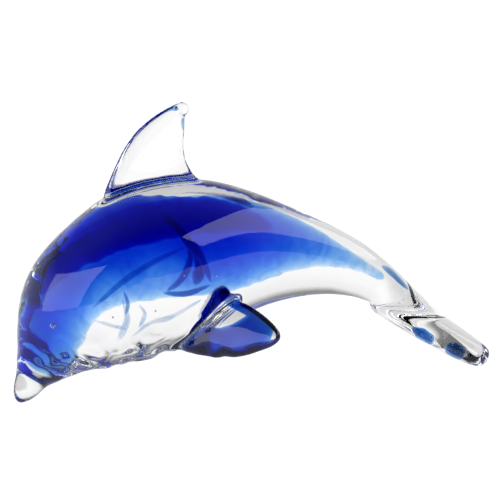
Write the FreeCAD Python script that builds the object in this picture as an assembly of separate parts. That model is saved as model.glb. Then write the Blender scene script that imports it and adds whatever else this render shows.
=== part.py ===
"""Glass dolphin figurine, leaping nose down, made of fused bits of clear and cobalt glass.

Millimetres, +Z up. The head points to -X, the tail to +X, and the left side is -Y.
The figurine stands on the beak and on both flukes. The origin is on the surface that
it stands on, at the middle of its footprint.
"""
import FreeCAD, Part
import math
import os

from FreeCAD import Vector

# ---------------------------------------------------------------- driving dimensions
# Outline points are (X, Z) in the plane of symmetry, measured from the tip of the beak.
BACK_LINE = [(-0.6, 10.6), (-0.2, 20.0), (1.0, 32.0), (6.8, 44.3), (17.5, 54.4), (30.0, 62.8),
             (44.5, 66.4), (60.0, 65.9), (78.0, 60.0), (98.0, 50.2), (114.0, 41.0), (125.0, 31.5)]
BELLY_LINE = [(8.4, 4.6), (16.0, 8.0), (30.0, 9.9), (46.0, 11.9), (61.0, 17.0), (75.0, 22.6),
              (90.0, 25.3), (105.0, 24.6), (117.0, 20.6)]
BODY_WIDTH_RATIO = [1.02, 0.92, 0.82, 0.80, 0.82, 0.92, 1.10]

# The blue gather inside the body, drawn the same way.
CORE_TOP_LINE = [(3.4, 13.0), (3.4, 22.0), (5.8, 32.4), (13.4, 41.2), (23.2, 47.6), (36.0, 52.4),
                 (50.5, 54.4), (66.5, 54.0), (80.0, 50.6), (93.0, 45.6), (107.0, 38.0), (121.2, 29.0)]
CORE_BOTTOM_LINE = [(9.2, 8.4), (15.4, 11.6), (20.2, 18.4), (24.0, 26.4), (33.5, 30.0), (46.0, 31.6),
                    (61.0, 32.0), (78.0, 34.6), (92.5, 35.6), (106.0, 33.4), (119.6, 26.8)]
CORE_WIDTH_RATIO = [0.6, 0.62, 0.76, 0.85, 0.8, 0.75, 0.7]
CORE_TOP_HEAVINESS = 0.8

BEAK_TOP_LINE = [(-0.6, 10.6), (-1.6, 6.4), (-2.1, 2.6), (-1.2, 0.3)]
BEAK_BOTTOM_LINE = [(8.4, 4.6), (4.6, 1.6), (1.8, 0.1), (-0.4, -0.3)]
BEAK_WIDTH_RATIO = [1.02, 1.0, 1.0, 0.9]

DORSAL_FRONT_LINE = [(24.0, 56.0), (28.8, 66.0), (32.4, 74.0), (37.4, 81.6), (44.0, 87.0), (51.4, 90.4)]
DORSAL_REAR_LINE = [(66.0, 60.0), (58.0, 67.0), (54.6, 71.5), (53.8, 78.0), (54.2, 83.6), (54.2, 88.4)]
DORSAL_THICKNESS = [7.0, 5.4, 4.6, 4.0, 3.4, 2.2]
DORSAL_BEAD_CENTRE = (53.2, 88.5)
DORSAL_BEAD_RADIUS = 2.3

# Flipper outline points are (X, Y outwards, Z).
FLIPPER_TOP_LINE = [(60.0, 7.0, 31.0), (64.5, 15.5, 31.6), (68.6, 23.0, 29.8), (72.0, 29.6, 26.8),
                    (74.0, 33.2, 23.6)]
FLIPPER_BOTTOM_LINE = [(43.0, 2.0, 17.0), (47.6, 10.5, 15.2), (55.4, 20.0, 14.6), (63.6, 28.0, 16.6),
                       (71.4, 33.0, 20.6)]
FLIPPER_THICKNESS = [8.0, 8.0, 7.4, 6.4, 3.4]
FLIPPER_WALL = 0.6
# The clear window through the blue: corners as (share of the span, share of the drop from the top edge).
WINDOW_CORNERS = [(0.19, 0.64), (0.30, 0.14), (0.61, 0.16), (0.54, 0.42), (0.45, 0.54)]
WINDOW_REACH = 12.0
FLIPPER_CORE_FIRST_RING = 2

STOCK_TOP_LINE = [(125.0, 31.5), (131.0, 25.2), (138.0, 18.6), (143.6, 13.0)]
STOCK_BOTTOM_LINE = [(117.0, 20.6), (122.6, 16.4), (130.0, 12.0), (138.0, 8.2)]
STOCK_WIDTH_RATIO = [1.10, 1.30, 1.65, 2.0]

# Fluke outline points are (X, Y outwards, Z).
FLUKE_OUTER_LINE = [(117.5, 2.5, 20.0), (121.5, 8.0, 16.2), (128.0, 12.4, 12.8), (136.5, 17.0, 8.2),
                    (145.0, 20.2, 3.8), (150.0, 20.4, 2.3), (151.6, 18.0, 2.3)]
FLUKE_INNER_LINE = [(123.0, -4.0, 24.0), (130.0, -4.5, 19.6), (137.0, -4.5, 15.2), (143.0, -2.6, 11.0),
                    (148.2, 4.0, 6.9), (151.2, 11.0, 4.0), (152.2, 16.4, 2.4)]
FLUKE_THICKNESS = [7.0, 8.4, 8.8, 9.0, 8.8, 8.0, 6.0]

# The beak and the flukes are ground to small flats where they stand on a surface.
BEAK_FLAT_DEPTH = 0.3

POINTS_PER_RING = 16
BODY_RINGS = 22
CORE_RINGS = 20
FIN_RINGS = 10
SMALL_RINGS = 6
TIP_SHRINK = 0.04
SPAN_STEPS = 100
WORK_SPACE = 400.0


# ---------------------------------------------------------------- helpers
def in_plane(points):
    """Turn (X, Z) points into vectors in the plane of symmetry."""
    return [Vector(x, 0, z) for x, z in points]


def along(points, count):
    """Points at equal steps along the smooth curve through the given points."""
    curve = Part.BSplineCurve()
    curve.interpolate(Points=points)
    return curve.discretize(Number=count)


def blend_values(values, fraction):
    """Value at a fraction of the way along an evenly spaced list, by straight interpolation."""
    place = fraction * (len(values) - 1)
    index = min(int(place), len(values) - 2)
    rest = place - index
    return values[index] * (1 - rest) + values[index + 1] * rest


def oval(centre, half_chord, half_width, heaviness=0.0):
    """Ring of control points whose smooth curve is the oval with these two half axes.

    Heaviness makes the oval an egg, wider towards the end that half_chord points to.
    """
    step = 2 * math.pi / POINTS_PER_RING
    swell = 3 / (2 + math.cos(step))
    ring = []
    for index in range(POINTS_PER_RING):
        across = half_chord * (swell * math.cos(index * step))
        fullness = 1 + heaviness * math.cos(index * step)
        sideways = half_width * (swell * fullness * math.sin(index * step))
        ring.append(centre + across + sideways)
    return ring


def skin(rings):
    """Closed solid with one smooth surface over the rings and a flat face at each end."""
    spans_along = len(rings) - 3
    surface = Part.BSplineSurface()
    surface.buildFromPolesMultsKnots(
        rings,
        [4] + [1] * (spans_along - 1) + [4], [1] * (POINTS_PER_RING + 1),
        list(range(spans_along + 1)), list(range(POINTS_PER_RING + 1)),
        False, True, 3, 3)
    side = surface.toShape()
    ends = [Part.Face(Part.Wire([edge])) for edge in side.Edges if edge.isClosed() and not edge.isSeam(side)]
    shell = Part.makeShell([side] + ends)
    shell.sewShape()
    solid = Part.Solid(shell)
    if solid.Volume < 0:
        solid.reverse()
    return solid


def shrunk(ring):
    """The ring drawn in almost to its own centre, which rounds off the end of a form."""
    centre = sum(ring, Vector()) * (1 / len(ring))
    return [centre + (point - centre) * TIP_SHRINK for point in ring]


def round_form(upper, lower, width_ratio, count, heaviness=0.0):
    """Rings with an oval section on every chord between two outlines in the plane of symmetry."""
    rings = []
    tops = along(in_plane(upper), count)
    bottoms = along(in_plane(lower), count)
    for index, (top, bottom) in enumerate(zip(tops, bottoms)):
        half_chord = (top - bottom) * 0.5
        half_width = half_chord.Length * blend_values(width_ratio, index / (count - 1))
        rings.append(oval((top + bottom) * 0.5, half_chord, Vector(0, half_width, 0), heaviness))
    return rings


def blade(edge_a, edge_b, thickness, count, inset=0.0):
    """Rings of a thin fin, with a flat oval on every chord between its two edges.

    The inset shrinks the ovals by that much on every side.
    """
    points_a = along(edge_a, count)
    points_b = along(edge_b, count)
    middles = [(a + b) * 0.5 for a, b in zip(points_a, points_b)]
    rings = []
    for index, (a, b) in enumerate(zip(points_a, points_b)):
        after = middles[min(index + 1, count - 1)]
        before = middles[max(index - 1, 0)]
        half_chord = (a - b) * 0.5
        normal = half_chord.cross(after - before).normalize()
        half_thickness = blend_values(thickness, index / (count - 1)) * 0.5 - inset
        long_axis = half_chord * ((half_chord.Length - inset) / half_chord.Length)
        rings.append(oval(middles[index], long_axis, normal * half_thickness))
    return rings


def mirrored(shape):
    """Copy on the other side of the plane of symmetry."""
    return shape.mirror(Vector(0, 0, 0), Vector(0, 1, 0))


# ---------------------------------------------------------------- sub-parts
def body_outside():
    return skin(round_form(BACK_LINE, BELLY_LINE, BODY_WIDTH_RATIO, BODY_RINGS))


def cobalt_core():
    rings = round_form(CORE_TOP_LINE, CORE_BOTTOM_LINE, CORE_WIDTH_RATIO, CORE_RINGS, CORE_TOP_HEAVINESS)
    return skin([shrunk(rings[0])] + rings + [shrunk(rings[-1])])


def beak():
    rings = round_form(BEAK_TOP_LINE, BEAK_BOTTOM_LINE, BEAK_WIDTH_RATIO, SMALL_RINGS)
    return skin(rings + [shrunk(rings[-1])])


def tail_stock():
    rings = round_form(STOCK_TOP_LINE, STOCK_BOTTOM_LINE, STOCK_WIDTH_RATIO, SMALL_RINGS)
    return skin(rings + [shrunk(rings[-1])])


def dorsal_fin(body):
    rings = blade(in_plane(DORSAL_FRONT_LINE), in_plane(DORSAL_REAR_LINE), DORSAL_THICKNESS, FIN_RINGS)
    x, z = DORSAL_BEAD_CENTRE
    bead = Part.makeSphere(DORSAL_BEAD_RADIUS, Vector(x, 0, z))
    return skin(rings).fuse(bead).cut(body)


def outwards_left(points):
    """Vectors for (X, Y outwards, Z) points on the left side, which is -Y."""
    return [Vector(x, -y, z) for x, y, z in points]


def flipper_rings(inset=0.0):
    top = outwards_left(FLIPPER_TOP_LINE)
    bottom = outwards_left(FLIPPER_BOTTOM_LINE)
    return blade(top, bottom, FLIPPER_THICKNESS, FIN_RINGS, inset)


def flipper_outside(body):
    rings = flipper_rings()
    return skin(rings + [shrunk(rings[-1])]).cut(body)


def flipper_core(body):
    """Blue inlay: the flipper's own form, a wall smaller, with a clear window through it."""
    rings = flipper_rings(FLIPPER_WALL)[FLIPPER_CORE_FIRST_RING:-1]
    inlay = skin([shrunk(rings[0])] + rings + [shrunk(rings[-1])])
    return inlay.cut(window_prism()).cut(body)


def window_prism():
    """Prism through the flipper, with its corners moved into one plane."""
    top = along(outwards_left(FLIPPER_TOP_LINE), SPAN_STEPS + 1)
    bottom = along(outwards_left(FLIPPER_BOTTOM_LINE), SPAN_STEPS + 1)
    corners = []
    for span, drop in WINDOW_CORNERS:
        index = round(span * SPAN_STEPS)
        corners.append(top[index] * (1 - drop) + bottom[index] * drop)
    normal = (corners[2] - corners[0]).cross(corners[3] - corners[1]).normalize()
    start = corners[0] - normal * WINDOW_REACH
    flat = [corner - normal * normal.dot(corner - start) for corner in corners]
    outline = Part.makePolygon(flat + flat[:1])
    return Part.Face(outline).extrude(normal * (2 * WINDOW_REACH))


def fluke(stock, body):
    """Left fluke: a thick lobe that sweeps back and outwards, and meets its twin in the middle."""
    inner = outwards_left(FLUKE_INNER_LINE)
    outer = outwards_left(FLUKE_OUTER_LINE)
    rings = blade(inner, outer, FLUKE_THICKNESS, FIN_RINGS)
    half = WORK_SPACE / 2
    left_half = Part.makeBox(WORK_SPACE, half, WORK_SPACE, Vector(-half, -half, -half))
    return skin(rings + [shrunk(rings[-1])]).common(left_half).cut(stock).cut(body)


# ---------------------------------------------------------------- assembly
def build():
    """Every sub-part by name, measured from the tip of the beak."""
    body = body_outside()
    stock = tail_stock()
    core = cobalt_core()
    flipper = flipper_outside(body)
    inlay = flipper_core(body)
    flipper_clear = flipper.cut(inlay)
    left_fluke = fluke(stock, body)
    return {
        "body_casing": body.cut(core),
        "cobalt_core": core,
        "beak": beak(),
        "dorsal_fin": dorsal_fin(body),
        "pectoral_fin_left": flipper_clear,
        "pectoral_core_left": inlay,
        "pectoral_fin_right": mirrored(flipper_clear),
        "pectoral_core_right": mirrored(inlay),
        "tail_stock": stock,
        "fluke_left": left_fluke,
        "fluke_right": mirrored(left_fluke),
    }


def stand_on_ground(shapes):
    """Move the parts to the frame's origin and grind the flats where they meet the ground."""
    boxes = [shape.BoundBox for shape in shapes.values()]
    middle = (min(box.XMin for box in boxes) + max(box.XMax for box in boxes)) / 2
    drop = shapes["beak"].BoundBox.ZMin + BEAK_FLAT_DEPTH
    half = WORK_SPACE / 2
    ground = Part.makeBox(WORK_SPACE, WORK_SPACE, half, Vector(-half, -half, -half))
    standing = {}
    for name, shape in shapes.items():
        moved = shape.translated(Vector(-middle, 0, -drop))
        standing[name] = moved.cut(ground) if moved.BoundBox.ZMin < 0 else moved
    return standing


def main():
    os.makedirs("parts", exist_ok=True)
    for name, shape in stand_on_ground(build()).items():
        print(name, len(shape.Solids), "solid", shape.isValid(), round(shape.Volume, 1), "mm3")
        shape.exportStep("parts/" + name + ".step")


main()
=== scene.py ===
"""Looks of the glass dolphin: one fused clear body in separate pieces, blue glass inside it."""

import math

import bmesh
import bpy
from mathutils import Matrix, Vector, noise
from mathutils.bvhtree import BVHTree
from mathutils.kdtree import KDTree


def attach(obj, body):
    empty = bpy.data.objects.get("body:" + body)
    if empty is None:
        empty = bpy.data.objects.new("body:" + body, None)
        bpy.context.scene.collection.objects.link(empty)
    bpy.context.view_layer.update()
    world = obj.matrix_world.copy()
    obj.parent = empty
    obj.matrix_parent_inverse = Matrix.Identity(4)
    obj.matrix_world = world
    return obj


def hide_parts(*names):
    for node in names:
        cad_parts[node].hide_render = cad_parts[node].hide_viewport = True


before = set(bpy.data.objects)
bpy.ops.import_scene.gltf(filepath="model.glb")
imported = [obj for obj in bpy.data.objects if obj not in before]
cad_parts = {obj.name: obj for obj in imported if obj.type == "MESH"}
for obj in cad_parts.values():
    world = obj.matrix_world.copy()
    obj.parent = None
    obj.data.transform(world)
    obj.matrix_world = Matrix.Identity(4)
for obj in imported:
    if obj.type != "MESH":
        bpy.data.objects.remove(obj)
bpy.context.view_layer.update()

MM = 0.001

# ---------------------------------------------------------------- driving values
JOIN_DISTANCE = 0.001 * MM
CLEAR_NODES = ["body_casing", "beak", "dorsal_fin", "pectoral_fin_left", "pectoral_fin_right",
               "tail_stock", "fluke_left", "fluke_right"]
SKIN_VOXEL = 0.55 * MM
SKIN_SMOOTHING = 12
SEAM_REACH = 3.5 * MM
SEAM_SMOOTHING = 60
CORE_VOXEL = 0.8 * MM
CORE_SMOOTHING = 20
FLIPPER_CORE_VOXEL = 0.45 * MM
FLIPPER_CORE_GROWTH = 0.5 * MM
THINNEST_WALL = 0.2 * MM
SMOOTH_FACTOR = 0.5
SEED_SUBDIVISIONS = 2
STREAK_STEPS = 8
STREAK_SIDES = 10
STREAK_TAPER = 0.6
STREAK_WOBBLE = 0.35
STREAK_WAVE = 3 * MM

# Uneven patches of the hand-worked skin: centre, reach along X and Z, wave length and height.
BELLY_RIPPLES = ((-43.0, 14.5), (29.0, 9.5), 5.0, 1.25)
BROW_RIPPLES = ((-52.0, 62.0), (16.0, 10.0), 7.0, 0.25)
STOCK_RIPPLES = ((47.0, 26.0), (16.0, 14.0), 8.0, 0.25)
SKIN_RIPPLES = (BELLY_RIPPLES, BROW_RIPPLES, STOCK_RIPPLES)
LEAST_RIPPLE_WEIGHT = 0.02

# Thin places of the cobalt: centre, reach along X and Z, and share of the thickness lost.
THIN_PLACES = (((-32.0, 40.0), (9.0, 6.0), 0.45), ((-47.0, 36.0), (7.0, 6.0), 0.35))

# Seed bubbles: centre and radius.
SEEDS = {
    "body_casing": (((-66.0, -9.0, 27.0), 0.9), ((-28.0, -17.0, 41.0), 0.3), ((-17.0, -12.0, 39.0), 0.35),
                    ((-37.0, -16.5, 31.0), 0.3), ((-50.0, -16.0, 30.0), 0.3), ((-6.0, -14.0, 40.0), 0.25)),
    "tail_stock": (((51.5, -3.0, 21.5), 0.45), ((55.0, -2.0, 18.0), 0.4), ((53.0, 4.0, 19.5), 0.35)),
    "fluke_left": (((59.0, -11.0, 10.0), 0.35), ((65.0, -13.0, 7.0), 0.3)),
}

# Streaks in the glass: (X, Z) points, depth in front of the middle, half width, half depth.
DARK_STREAKS = (
    ([(-26.0, 47.6), (-36.0, 44.0), (-46.0, 38.5), (-54.5, 32.0)], 11.0, 0.45, 2.5),
    ([(-32.5, 57.5), (-28.5, 54.0), (-25.0, 49.0), (-21.4, 44.5), (-18.6, 37.0)], 11.0, 1.5, 3.0),
    ([(-25.2, 48.5), (-24.6, 44.0), (-27.6, 38.5), (-32.0, 35.5)], 10.0, 0.8, 3.0),
    ([(-23.0, 45.6), (-21.6, 41.0), (-23.6, 36.6)], 9.0, 2.0, 3.0),
    ([(-33.0, 35.0), (-26.0, 34.4), (-18.8, 36.2)], 10.0, 0.8, 2.5),
    ([(-45.4, 36.5), (-44.4, 33.0), (-45.2, 30.0)], 12.0, 0.6, 1.5),
    ([(-29.5, 87.6), (-26.0, 88.8), (-23.0, 88.6)], 0.0, 0.8, 1.0),
    ([(-22.2, 86.0), (-22.0, 82.0)], 0.0, 0.6, 1.0),
    ([(-73.6, 11.0), (-70.6, 9.2), (-67.8, 6.6)], 0.0, 0.7, 3.4),
    ([(43.0, 32.2), (47.5, 29.0), (52.5, 23.6)], 2.0, 0.6, 2.5),
    ([(52.0, 13.6), (55.5, 11.6), (59.5, 9.0)], 11.0, 1.2, 2.4),
    ([(63.0, 7.6), (66.0, 6.0), (69.0, 4.4)], 14.0, 1.1, 2.2),
)
# Pale grey folds behind the head, in the same terms: partly folds in the glass, partly painted shade along
# them.
FOLDS_AND_SHADE = (
    ([(-45.5, 34.0), (-44.7, 28.0), (-47.4, 22.0)], 11.0, 0.7, 3.0),
    ([(-43.5, 23.6), (-37.5, 26.9), (-31.3, 28.2), (-22.0, 32.4)], 11.5, 0.8, 3.0),
    ([(-54.5, 28.4), (-49.3, 26.9), (-45.0, 25.4)], 11.0, 0.6, 2.5),
    ([(-41.0, 32.5), (-39.4, 29.5), (-41.5, 26.0)], 12.0, 0.5, 2.5),
)
# The deeper band of colour along the back, in the same terms.
DEEP_BANDS = (
    ([(-66.0, 33.5), (-61.5, 40.5), (-53.5, 46.0), (-41.0, 50.2), (-26.0, 51.8),
      (-10.0, 51.0), (4.0, 47.4)], 0.0, 4.6, 10.0),
)

GLASS_IOR = 1.5
SURFACE_SCALE = 90.0
SURFACE_DETAIL = 1.0
SURFACE_ROUGHNESS = 0.02
BUMP_STRENGTH = 0.25
BUMP_HEIGHT = 0.3 * MM
CORD_SCALE = 150.0
CORD_DETAIL = 3.0
CORD_DISTORTION = 1.5
CORD_TINT = (0.74, 0.86, 0.98, 1)
CORD_STOPS = (0.38, 0.55)
NO_TINT = (1, 1, 1, 1)

# Colour and density of each inner glass, by material name.
INNER_GLASS = {
    "cobalt_glass": ((0.0, 0.5, 0.93), 400.0),
    "blue_glass": ((0.0, 0.45, 0.88), 900.0),
    "dark_streaks": ((0.0, 0.45, 0.8), 800.0),
    # Grey glass of the folds behind the head, which also paints in shade there.
    "folds_and_painted_shade": ((0.35, 0.42, 0.6), 130.0),
    "deep_cobalt": ((0.0, 0.3, 0.9), 600.0),
}

CAMERA_AZIMUTH = -20.0
CAMERA_ELEVATION = 15.0
CAMERA_DISTANCE = 0.6
CAMERA_TARGET = Vector((0.0, 0.0, 0.04185))
CAMERA_ANGLE = math.radians(15.0)
CAMERA_NEAREST = 0.01
GLASS_BOUNCES = 48
GLOSSY_BOUNCES = 8

FLOOR_HALF_SIDE = 1.5
FLOOR_DROP = 0.4 * MM
FLOOR_GLOW = 1.1
# Painted shadow under the object: reach and grey stops of the glowing pool that only the glass sees.
SHADE_REACH = (3.0, 6.0, 0.0)
SHADE_STOPS = [(0.0, 0.55), (0.25, 0.7), (0.6, 0.95), (1.0, 1.0)]
DEPTH_STOPS = [(0.15, 0.03), (0.45, 1.0), (1.0, 1.0)]
HEIGHT_STOPS = [(0.5, 1.0), (0.68, 0.9), (0.8, 0.25), (1.0, 0.15)]
# name, azimuth, elevation, distance, width, height, radiance
SOFTBOXES = [("left_softbox", -62, 17, 0.8, 0.83, 0.52, 2.0),
             ("right_softbox", 70, 34, 0.8, 1.3, 0.32, 2.0)]


# ---------------------------------------------------------------- mesh helpers
def merged_bmesh(node):
    """The CAD node's mesh with its split vertices joined."""
    mesh = bmesh.new()
    mesh.from_mesh(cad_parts[node].data)
    bmesh.ops.remove_doubles(mesh, verts=mesh.verts, dist=JOIN_DISTANCE)
    return mesh


def islands(mesh):
    """Connected groups of faces."""
    left = set(mesh.faces)
    groups = []
    while left:
        start = left.pop()
        group = [start]
        stack = [start]
        while stack:
            for edge in stack.pop().edges:
                for face in edge.link_faces:
                    if face in left:
                        left.remove(face)
                        group.append(face)
                        stack.append(face)
        groups.append(group)
    return groups


def span(faces):
    """Diagonal of the box round some faces."""
    points = [vert.co for face in faces for vert in face.verts]
    low = Vector(map(min, zip(*points)))
    high = Vector(map(max, zip(*points)))
    return (high - low).length


def outer_skin(node):
    """Points and faces of a node's outside, without the wall of any hollow in it."""
    mesh = merged_bmesh(node)
    biggest = max(islands(mesh), key=span)
    keep = set(biggest)
    bmesh.ops.delete(mesh, geom=[face for face in mesh.faces if face not in keep], context="FACES")
    mesh.verts.index_update()
    points = [vert.co.copy() for vert in mesh.verts]
    faces = [[vert.index for vert in face.verts] for face in mesh.faces]
    mesh.free()
    return points, faces


def new_object(name, points, faces):
    """A mesh object in the scene, from its points and faces."""
    mesh = bpy.data.meshes.new(name)
    mesh.from_pydata(points, [], faces)
    mesh.validate()
    thing = bpy.data.objects.new(name, mesh)
    bpy.context.scene.collection.objects.link(thing)
    return thing


def with_modifiers_applied(thing):
    """Replace the object's mesh by what its modifiers make of it."""
    graph = bpy.context.evaluated_depsgraph_get()
    mesh = bpy.data.meshes.new_from_object(thing.evaluated_get(graph))
    old = thing.data
    thing.modifiers.clear()
    thing.data = mesh
    mesh.name = thing.name
    bpy.data.meshes.remove(old)
    return thing


def remeshed(thing, voxel, smoothing):
    """Even out the mesh's faces and take the stair steps out of it."""
    remesh = thing.modifiers.new("remesh", "REMESH")
    remesh.mode = "VOXEL"
    remesh.voxel_size = voxel
    with_modifiers_applied(thing)
    return smoothed(thing, smoothing)


def smoothed(thing, times, group=""):
    """Relax the mesh, all over or by the weights of a vertex group."""
    smooth = thing.modifiers.new("smooth", "SMOOTH")
    smooth.factor = SMOOTH_FACTOR
    smooth.iterations = times
    smooth.vertex_group = group
    return with_modifiers_applied(thing)


# ---------------------------------------------------------------- materials
def node_material(name):
    """A material whose node tree holds only its output."""
    material = bpy.data.materials.new(name)
    material.use_nodes = True
    tree = material.node_tree
    tree.nodes.clear()
    output = tree.nodes.new("ShaderNodeOutputMaterial")
    return material, tree, output


def clear_glass():
    """Clear glass with a slightly wavy, fire-polished surface."""
    material, tree, output = node_material("clear_glass")
    shader = tree.nodes.new("ShaderNodeBsdfPrincipled")
    shader.inputs["Base Color"].default_value = NO_TINT
    shader.inputs["IOR"].default_value = GLASS_IOR
    shader.inputs["Transmission Weight"].default_value = 1.0
    waves = tree.nodes.new("ShaderNodeTexNoise")
    waves.inputs["Scale"].default_value = SURFACE_SCALE
    waves.inputs["Detail"].default_value = SURFACE_DETAIL
    bump = tree.nodes.new("ShaderNodeBump")
    bump.inputs["Strength"].default_value = BUMP_STRENGTH
    bump.inputs["Distance"].default_value = BUMP_HEIGHT
    place = tree.nodes.new("ShaderNodeTexCoord")
    gloss = tree.nodes.new("ShaderNodeMapRange")
    gloss.inputs["To Min"].default_value = 0.0
    gloss.inputs["To Max"].default_value = SURFACE_ROUGHNESS
    tree.links.new(place.outputs["Object"], waves.inputs["Vector"])
    tree.links.new(waves.outputs["Fac"], bump.inputs["Height"])
    tree.links.new(waves.outputs["Fac"], gloss.inputs["Value"])
    tree.links.new(gloss.outputs["Result"], shader.inputs["Roughness"])
    tree.links.new(bump.outputs["Normal"], shader.inputs["Normal"])
    tree.links.new(shader.outputs["BSDF"], output.inputs["Surface"])
    return material


def seam_material():
    """The see-through face between two fused pieces."""
    material, tree, output = node_material("fused_seam")
    shader = tree.nodes.new("ShaderNodeBsdfTransparent")
    tree.links.new(shader.outputs["BSDF"], output.inputs["Surface"])
    return material


def inner_glass(name):
    """Glass that only tints what is seen through it, with faint cords where it was stirred."""
    colour, density = INNER_GLASS[name]
    material, tree, output = node_material(name)
    shader = tree.nodes.new("ShaderNodeBsdfTransparent")
    place = tree.nodes.new("ShaderNodeTexCoord")
    cords = tree.nodes.new("ShaderNodeTexNoise")
    cords.inputs["Scale"].default_value = CORD_SCALE
    cords.inputs["Detail"].default_value = CORD_DETAIL
    cords.inputs["Distortion"].default_value = CORD_DISTORTION
    ramp = tree.nodes.new("ShaderNodeValToRGB")
    for element, position, tint in zip(ramp.color_ramp.elements, CORD_STOPS, (CORD_TINT, NO_TINT)):
        element.position = position
        element.color = tint
    tree.links.new(place.outputs["Object"], cords.inputs["Vector"])
    tree.links.new(cords.outputs["Fac"], ramp.inputs["Fac"])
    tree.links.new(ramp.outputs["Color"], shader.inputs["Color"])
    volume = tree.nodes.new("ShaderNodeVolumeAbsorption")
    volume.inputs["Color"].default_value = (*colour, 1)
    volume.inputs["Density"].default_value = density
    tree.links.new(shader.outputs["BSDF"], output.inputs["Surface"])
    tree.links.new(volume.outputs["Volume"], output.inputs["Volume"])
    return material


# ---------------------------------------------------------------- glass pieces
def fused_skin():
    """All the clear pieces' outsides, melted together, and which node each CAD face came from."""
    points = []
    faces = []
    owners = []
    for node in CLEAR_NODES:
        node_points, node_faces = outer_skin(node)
        offset = len(points)
        points += node_points
        faces += [[offset + index for index in face] for face in node_faces]
        owners += [node] * len(node_faces)
    nearest = BVHTree.FromPolygons(points, faces)
    thing = remeshed(new_object("fused", points, faces), SKIN_VOXEL, SKIN_SMOOTHING)
    owner_of = []
    for polygon in thing.data.polygons:
        owner_of.append(owners[nearest.find_nearest(polygon.center)[2]])
    melt_seams(thing, owner_of)
    ripple(thing)
    return thing, owner_of


def patch_weight(point, centre, reach):
    """How far inside a soft oval patch a point is, seen from the side: 1 in the middle, 0 far off."""
    across = (point.x / MM - centre[0]) / reach[0]
    upwards = (point.z / MM - centre[1]) / reach[1]
    return math.exp(-across * across - upwards * upwards)


def ripple(thing):
    """Push the skin in and out a little where the hot glass was pulled and pinched."""
    vertices = thing.data.vertices
    normals = [vert.normal.copy() for vert in vertices]
    for vert, normal in zip(vertices, normals):
        height = 0.0
        for centre, reach, wave, tall in SKIN_RIPPLES:
            weight = patch_weight(vert.co, centre, reach)
            if weight > LEAST_RIPPLE_WEIGHT:
                height += tall * weight * noise.noise(vert.co / (wave * MM))
        vert.co += normal * height * MM


def melt_seams(thing, owner_of):
    """Smooth the skin most at the seams, where hot glass runs together."""
    seen = {}
    tree_points = []
    for polygon, owner in zip(thing.data.polygons, owner_of):
        for index in polygon.vertices:
            if seen.setdefault(index, owner) != owner:
                tree_points.append(index)
    seam = KDTree(len(tree_points))
    for order, index in enumerate(tree_points):
        seam.insert(thing.data.vertices[index].co, order)
    seam.balance()
    group = thing.vertex_groups.new(name="seam")
    for vert in thing.data.vertices:
        distance = seam.find(vert.co)[2]
        if distance < SEAM_REACH:
            group.add([vert.index], 1 - distance / SEAM_REACH, "REPLACE")
    smoothed(thing, SEAM_SMOOTHING, "seam")


def close_holes(mesh, seam_slot):
    """Cap every open loop with a fan to its middle, in the seam material.

    The loop's points are summed in their own order, so the middle is the same on every run.
    """
    while True:
        start = next((edge for edge in mesh.edges if edge.is_boundary), None)
        if start is None:
            return
        loop = [start]
        seen = {start}
        vert = start.verts[1]
        while vert is not start.verts[0]:
            edge = next(edge for edge in vert.link_edges if edge.is_boundary and edge not in seen)
            seen.add(edge)
            loop.append(edge)
            vert = edge.other_vert(vert)
        verts = list(dict.fromkeys(vert for edge in loop for vert in edge.verts))
        centre = mesh.verts.new(sum((vert.co for vert in verts), Vector()) / len(verts))
        for edge in loop:
            first, second = edge.verts
            for corner in edge.link_loops:
                if corner.vert is first:
                    first, second = second, first
            face = mesh.faces.new((first, second, centre))
            face.material_index = seam_slot


def add_seed(mesh, centre, radius):
    """A small air bubble in the glass: a closed ball whose faces look inwards."""
    made = bmesh.ops.create_icosphere(mesh, subdivisions=SEED_SUBDIVISIONS, radius=radius,
                                      matrix=Matrix.Translation(centre))
    faces = {face for vert in made["verts"] for face in vert.link_faces}
    bmesh.ops.reverse_faces(mesh, faces=list(faces))


def glass_pieces():
    """Split the fused skin into the object's pieces, each one closed by clear seams.

    Returns the whole skin as a search tree. In each piece, material 0 is the glass and 1 the seam.
    """
    whole, owner_of = fused_skin()
    normals = {tuple(vert.co): vert.normal.copy() for vert in whole.data.vertices}
    source = whole.data
    glass = clear_glass()
    seam = seam_material()
    for node in CLEAR_NODES:
        mesh = bmesh.new()
        mesh.from_mesh(source)
        mesh.faces.ensure_lookup_table()
        others = [mesh.faces[index] for index, owner in enumerate(owner_of) if owner != node]
        bmesh.ops.delete(mesh, geom=others, context="FACES")
        close_holes(mesh, 1)
        for centre, radius in SEEDS.get(node, ()):
            add_seed(mesh, Vector(centre) * MM, radius * MM)
        data = bpy.data.meshes.new("glass_" + node)
        mesh.to_mesh(data)
        mesh.free()
        data.materials.append(glass)
        data.materials.append(seam)
        data.polygons.foreach_set("use_smooth", [True] * len(data.polygons))
        bare = [vert.normal.copy() for vert in data.vertices]
        data.normals_split_custom_set_from_vertices(
            [normals.get(tuple(vert.co), own) for vert, own in zip(data.vertices, bare)])
        piece = bpy.data.objects.new("glass_" + node, data)
        bpy.context.scene.collection.objects.link(piece)
        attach(piece, "root")
        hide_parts(node)
    skin = BVHTree.FromPolygons([vert.co.copy() for vert in source.vertices],
                                [list(polygon.vertices) for polygon in source.polygons])
    bpy.data.objects.remove(whole)
    return skin


def keep_inside(thing, skin):
    """Pull points back that come nearer to the skin than the thinnest clear wall."""
    for vert in thing.data.vertices:
        place, normal, _, distance = skin.find_nearest(vert.co)
        depth = math.copysign(distance, (place - vert.co).dot(normal))
        if depth < THINNEST_WALL:
            vert.co = place - normal * THINNEST_WALL


def stretch(thing):
    """Make the cobalt thinner from side to side where it was stretched."""
    for vert in thing.data.vertices:
        for centre, reach, loss in THIN_PLACES:
            vert.co.y *= 1 - loss * patch_weight(vert.co, centre, reach)


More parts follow.
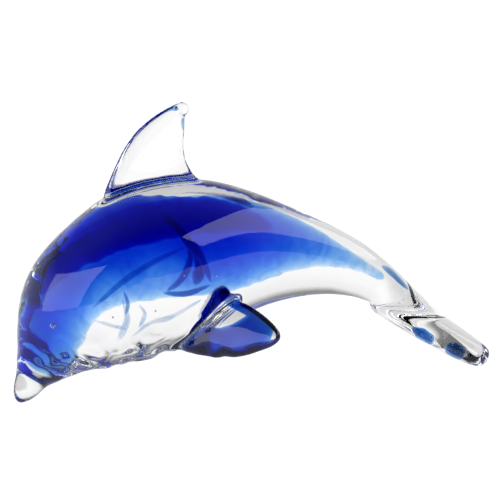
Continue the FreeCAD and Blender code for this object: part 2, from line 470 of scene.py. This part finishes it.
def swell(thing, growth):
    """Grow the mesh along its normals, which makes up for what smoothing took off."""
    vertices = thing.data.vertices
    normals = [vert.normal.copy() for vert in vertices]
    for vert, normal in zip(vertices, normals):
        vert.co += normal * growth


def core_piece(node, material, skin, voxel=CORE_VOXEL, growth=0.0):
    """One of the coloured gathers inside the clear glass."""
    points, faces = outer_skin(node)
    piece = remeshed(new_object("glass_" + node, points, faces), voxel, CORE_SMOOTHING)
    stretch(piece)
    swell(piece, growth)
    keep_inside(piece, skin)
    piece.data.materials.clear()
    piece.data.materials.append(material)
    piece.data.polygons.foreach_set("use_smooth", [True] * len(piece.data.polygons))
    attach(piece, "root")
    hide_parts(node)


def streak_path(places, depth):
    """Smooth path through (X, Z) places, at one depth in front of the middle plane."""
    ends = [places[0]] + list(places) + [places[-1]]
    path = []
    for before, first, second, after in zip(ends, ends[1:], ends[2:], ends[3:]):
        for step in range(STREAK_STEPS):
            share = step / STREAK_STEPS
            x, z = (catmull(share, *values) for values in zip(before, first, second, after))
            path.append(Vector((x, -depth, z)) * MM)
    return path + [Vector((places[-1][0], -depth, places[-1][1])) * MM]


def catmull(share, before, first, second, after):
    """Smooth value between first and second, aware of the values beyond them."""
    bend = 2 * before - 5 * first + 4 * second - after
    twist = 3 * first - before - 3 * second + after
    return first + share * (second - before + share * (bend + share * twist)) / 2


def add_streak(mesh, places, depth, half_width, half_depth):
    """A closed ribbon that thins out to both of its ends."""
    path = streak_path(places, depth)
    last = len(path) - 1
    rings = []
    for index, point in enumerate(path):
        along = (path[min(index + 1, last)] - path[max(index - 1, 0)]).normalized()
        side = along.cross(Vector((0, 1, 0)))
        taper = math.sin(math.pi * (index + 0.5) / (last + 1)) ** STREAK_TAPER
        wobble = 1 + STREAK_WOBBLE * noise.noise(point / STREAK_WAVE)
        ring = []
        for corner in range(STREAK_SIDES):
            turn = 2 * math.pi * corner / STREAK_SIDES
            sideways = side * (half_width * wobble * math.cos(turn))
            deeper = Vector((0, half_depth * math.sin(turn), 0))
            ring.append(mesh.verts.new(point + (sideways + deeper) * taper * MM))
        rings.append(ring)
    for first, second in zip(rings, rings[1:]):
        for corner in range(STREAK_SIDES):
            after = (corner + 1) % STREAK_SIDES
            mesh.faces.new((first[corner], first[after], second[after], second[corner]))
    mesh.faces.new(rings[0][::-1])
    mesh.faces.new(rings[-1])


def streaks_piece(name, streaks, material, skin):
    """A group of streaks, as one piece."""
    mesh = bmesh.new()
    for streak in streaks:
        add_streak(mesh, *streak)
    bmesh.ops.recalc_face_normals(mesh, faces=mesh.faces)
    data = bpy.data.meshes.new(name)
    mesh.to_mesh(data)
    mesh.free()
    data.materials.append(material)
    data.polygons.foreach_set("use_smooth", [True] * len(data.polygons))
    piece = bpy.data.objects.new(name, data)
    bpy.context.scene.collection.objects.link(piece)
    keep_inside(piece, skin)
    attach(piece, "root")


# ---------------------------------------------------------------- stage, light and camera
def emissive(name, colour, strength):
    """A surface that glows evenly."""
    material, tree, output = node_material(name)
    shader = tree.nodes.new("ShaderNodeEmission")
    shader.inputs["Color"].default_value = (*colour, 1)
    shader.inputs["Strength"].default_value = strength
    tree.links.new(shader.outputs["Emission"], output.inputs["Surface"])
    return material


def make_floor():
    """A white sheet for the camera, and on it a painted shadow: a grey glowing pool under the object that
    only the glass sees.
    """
    size = FLOOR_HALF_SIDE
    points = [(-size, -size, -FLOOR_DROP), (size, -size, -FLOOR_DROP),
              (size, size, -FLOOR_DROP), (-size, size, -FLOOR_DROP)]
    floor = new_object("floor", points, [[0, 1, 2, 3]])
    floor.data.materials.append(emissive("pale_floor", (1, 1, 1), FLOOR_GLOW))
    points = [(x, y, z + FLOOR_DROP / 2) for x, y, z in points]
    # Painted shadow: a grey glowing pool, hidden from the camera, that the glass sees in place of the
    # shaded floor.
    pool = new_object("floor_shade", points, [[0, 1, 2, 3]])
    pool.data.materials.append(shade_material())
    pool.visible_camera = False


def shade_material():
    """Painted shadow on the sheet as the glass sees it: the glow is dim under the object and pale further
    out.
    """
    material, tree, output = node_material("floor_shade")
    shader = tree.nodes.new("ShaderNodeEmission")
    place = tree.nodes.new("ShaderNodeTexCoord")
    scaled = tree.nodes.new("ShaderNodeVectorMath")
    scaled.operation = "MULTIPLY"
    scaled.inputs[1].default_value = SHADE_REACH
    length = tree.nodes.new("ShaderNodeVectorMath")
    length.operation = "LENGTH"
    ramp = tree.nodes.new("ShaderNodeValToRGB")
    set_ramp(ramp, SHADE_STOPS)
    tree.links.new(place.outputs["Object"], scaled.inputs[0])
    tree.links.new(scaled.outputs["Vector"], length.inputs[0])
    tree.links.new(length.outputs["Value"], ramp.inputs["Fac"])
    tree.links.new(ramp.outputs["Color"], shader.inputs["Color"])
    tree.links.new(shader.outputs["Emission"], output.inputs["Surface"])
    return material


def set_ramp(ramp, stops):
    """Give a colour ramp these (position, grey) stops."""
    elements = ramp.color_ramp.elements
    while len(elements) < len(stops):
        elements.new(1.0)
    for element, (position, grey) in zip(elements, stops):
        element.position = position
        element.color = (grey, grey, grey, 1)


def make_world():
    """A pale backdrop low behind the object, and a dim room in front and above."""
    world = bpy.data.worlds.new("studio")
    bpy.context.scene.world = world
    world.use_nodes = True
    tree = world.node_tree
    place = tree.nodes.new("ShaderNodeTexCoord")
    split = tree.nodes.new("ShaderNodeSeparateXYZ")
    tree.links.new(place.outputs["Generated"], split.inputs["Vector"])
    ramps = []
    for axis, stops in (("Y", DEPTH_STOPS), ("Z", HEIGHT_STOPS)):
        half = tree.nodes.new("ShaderNodeMath")
        half.operation = "MULTIPLY_ADD"
        half.inputs[1].default_value = 0.5
        half.inputs[2].default_value = 0.5
        ramp = tree.nodes.new("ShaderNodeValToRGB")
        set_ramp(ramp, stops)
        tree.links.new(split.outputs[axis], half.inputs[0])
        tree.links.new(half.outputs["Value"], ramp.inputs["Fac"])
        ramps.append(ramp)
    product = tree.nodes.new("ShaderNodeVectorMath")
    product.operation = "MULTIPLY"
    tree.links.new(ramps[0].outputs["Color"], product.inputs[0])
    tree.links.new(ramps[1].outputs["Color"], product.inputs[1])
    tree.links.new(product.outputs["Vector"], tree.nodes["Background"].inputs["Color"])


def direction(azimuth, elevation):
    """Outwards at these angles: azimuth 0 is off the left side, 90 is off the tail."""
    a = math.radians(azimuth)
    e = math.radians(elevation)
    return Vector((math.sin(a) * math.cos(e), -math.cos(a) * math.cos(e), math.sin(e)))


def make_softbox(name, azimuth, elevation, distance, width, height, glow):
    """A rectangle of light with this radiance, facing the object."""
    data = bpy.data.lights.new(name, "AREA")
    data.shape = "RECTANGLE"
    data.size = width
    data.size_y = height
    data.energy = glow * math.pi * width * height
    light = bpy.data.objects.new(name, data)
    bpy.context.scene.collection.objects.link(light)
    way = direction(azimuth, elevation)
    light.location = CAMERA_TARGET + way * distance
    light.rotation_euler = way.to_track_quat("Z", "Y").to_euler()
    light.visible_camera = False


def make_camera():
    """The camera, at its driving angles and distance from its target."""
    data = bpy.data.cameras.new("camera")
    data.angle = CAMERA_ANGLE
    data.clip_start = CAMERA_NEAREST
    camera = bpy.data.objects.new("camera", data)
    bpy.context.scene.collection.objects.link(camera)
    way = direction(CAMERA_AZIMUTH, CAMERA_ELEVATION)
    camera.location = CAMERA_TARGET + way * CAMERA_DISTANCE
    camera.rotation_euler = way.to_track_quat("Z", "Y").to_euler()
    bpy.context.scene.camera = camera


def set_render():
    """Standard colours, and enough bounces for light to cross all the layers of glass."""
    scene = bpy.context.scene
    scene.view_settings.view_transform = "Standard"
    scene.cycles.max_bounces = GLASS_BOUNCES
    scene.cycles.transmission_bounces = GLASS_BOUNCES
    scene.cycles.transparent_max_bounces = GLASS_BOUNCES
    scene.cycles.glossy_bounces = GLOSSY_BOUNCES
    scene.cycles.caustics_refractive = True
    scene.cycles.caustics_reflective = True


# ---------------------------------------------------------------- build
def build_glass():
    """The clear skin first, because everything inside is kept within it."""
    skin = glass_pieces()
    core_piece("cobalt_core", inner_glass("cobalt_glass"), skin)
    blue = inner_glass("blue_glass")
    for node in ("pectoral_core_left", "pectoral_core_right"):
        core_piece(node, blue, skin, FLIPPER_CORE_VOXEL, FLIPPER_CORE_GROWTH)
    streaks_piece("glass_dark_streaks", DARK_STREAKS, inner_glass("dark_streaks"), skin)
    # Folds behind the head, grey glass that partly paints in shade.
    streaks_piece("glass_folds_and_painted_shade", FOLDS_AND_SHADE, inner_glass("folds_and_painted_shade"), skin)
    streaks_piece("glass_deep_bands", DEEP_BANDS, inner_glass("deep_cobalt"), skin)


def build_studio():
    """Floor, backdrop, lights and camera."""
    make_floor()
    make_world()
    for softbox in SOFTBOXES:
        make_softbox(*softbox)
    make_camera()


build_glass()
build_studio()
set_render()
